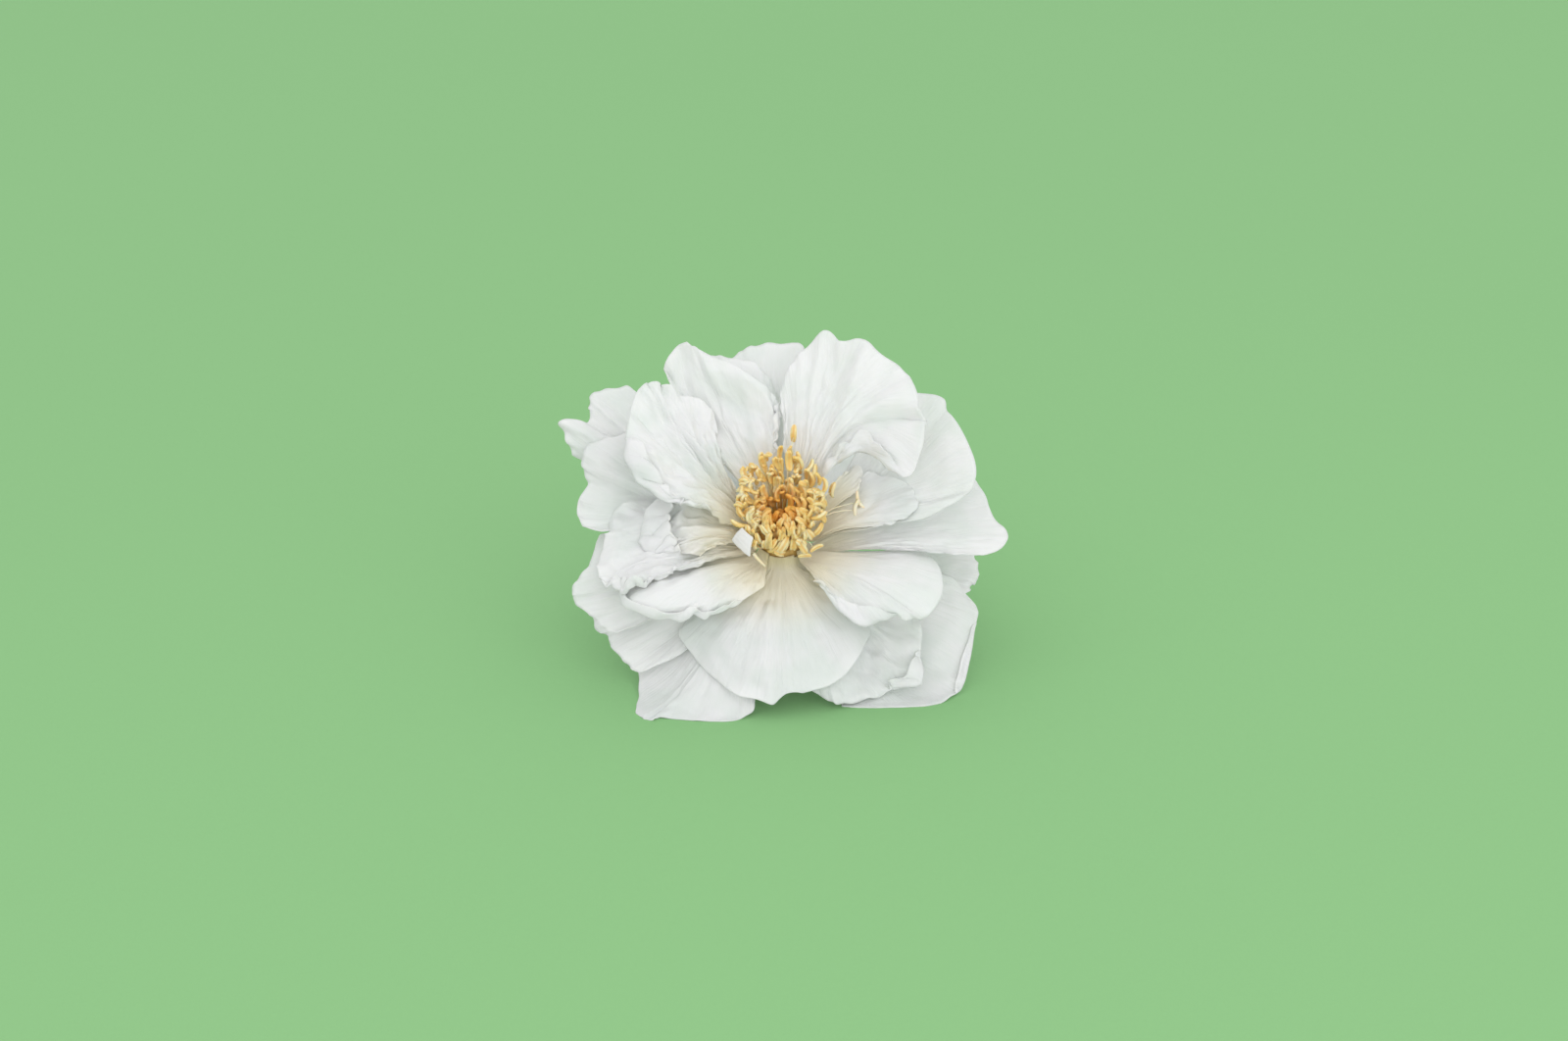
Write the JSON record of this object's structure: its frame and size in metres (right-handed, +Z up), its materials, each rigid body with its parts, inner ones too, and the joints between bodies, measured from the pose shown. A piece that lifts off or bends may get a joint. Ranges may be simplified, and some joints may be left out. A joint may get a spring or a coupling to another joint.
{
  "type": "preserved rose",
  "caption": "Open preserved rose head with layered curling petals, a crown of stamens and styles, folded sepals, hip and short cut stem; rests on two lower petals and the stem.",
  "frame": {"origin": "on the resting surface, under the middle of the flower's box", "axes": "+Z up; +X along the flower's width, to the right as the open face is seen; the open face looks towards -Y and up"},
  "size_m": [0.0724, 0.0514, 0.0512],
  "materials": {
    "petal": "soft matte white petal with fine fan-shaped veins, cream towards the claw",
    "stamen": "golden matte anthers on pale cream filaments",
    "style": "matte orange-brown",
    "sepal": "dry matte olive green",
    "hip": "dry satin olive green",
    "stem": "dry olive brown bark, pale cut face"
  },
  "bodies": {
    "root": {"upper_right_petal": "petal", "small_right_petal": "petal", "right_inner_petal": "petal", "left_shoulder_petal": "petal", "left_inner_petal": "petal", "upper_left_petal": "petal", "left_middle_petal": "petal", "left_lower_inner_petal": "petal", "right_back_petal": "petal", "right_pointed_petal": "petal", "lower_right_front_petal": "petal", "bottom_center_petal": "petal", "upper_left_back_petal": "petal", "left_upper_outer_petal": "petal", "top_back_petal": "petal", "left_outer_petal": "petal", "left_lower_outer_petal": "petal", "lower_right_under_petal": "petal", "left_tip_petal": "petal", "bottom_left_petal": "petal", "outer_lower_right_petal": "petal", "right_low_back_petal": "petal", "back_right_petal": "petal", "back_left_petal": "petal", "petaloid_flake": "petal", "stamens": "stamen", "styles": "style", "sepal_1": "sepal", "sepal_2": "sepal", "sepal_3": "sepal", "sepal_4": "sepal", "sepal_5": "sepal", "hip": "hip", "stem_end": "stem"}
  },
  "joints": []
}
